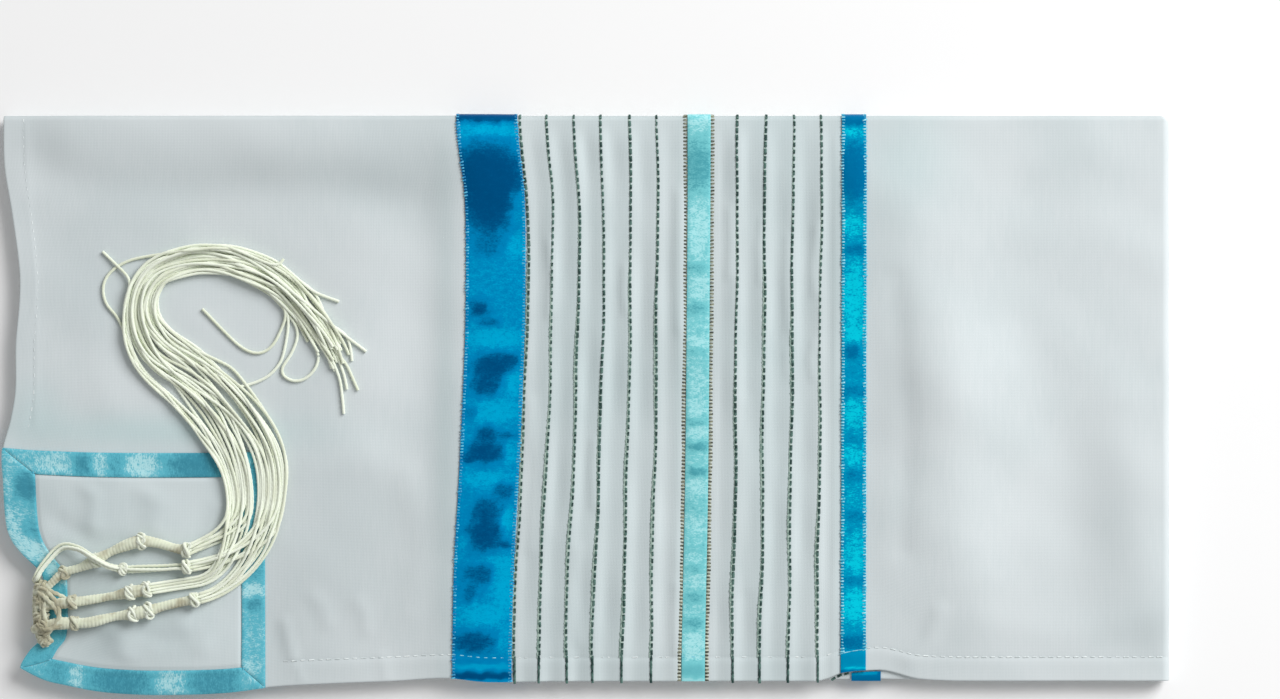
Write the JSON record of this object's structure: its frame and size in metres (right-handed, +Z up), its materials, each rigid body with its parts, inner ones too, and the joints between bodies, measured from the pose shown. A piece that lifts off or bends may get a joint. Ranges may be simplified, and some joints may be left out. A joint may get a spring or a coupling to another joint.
{
  "type": "folded tallit prayer shawl",
  "caption": "White prayer shawl folded to a flat packet, with satin ribbons, a striped band, a corner patch and knotted tassels on top.",
  "frame": {"origin": "centre of the bounding box, on the surface that the packet lies on", "axes": "+X along the packet away from the tassels, +Y across it towards the lengthwise fold, +Z up off the surface"},
  "size_m": [0.479, 0.2388, 0.0183],
  "materials": {
    "cloth": "matt fine plain weave",
    "dark_ribbon": "satin",
    "light_ribbon": "satin",
    "patch_ribbon": "satin",
    "yarn": "matt twisted wool"
  },
  "bodies": {
    "root": {"under_layers": "cloth", "shawl_top": "cloth", "ribbon_wide": "dark_ribbon", "ribbon_light": "light_ribbon", "ribbon_narrow": "dark_ribbon", "lower_ribbon_end": "dark_ribbon", "corner_panel": "cloth", "corner_ribbon_top": "patch_ribbon", "corner_ribbon_left": "patch_ribbon", "corner_ribbon_right": "patch_ribbon", "corner_ribbon_bottom": "patch_ribbon", "tassel_1": "yarn", "tassel_2": "yarn", "tassel_3": "yarn", "tassel_4": "yarn"}
  },
  "joints": []
}
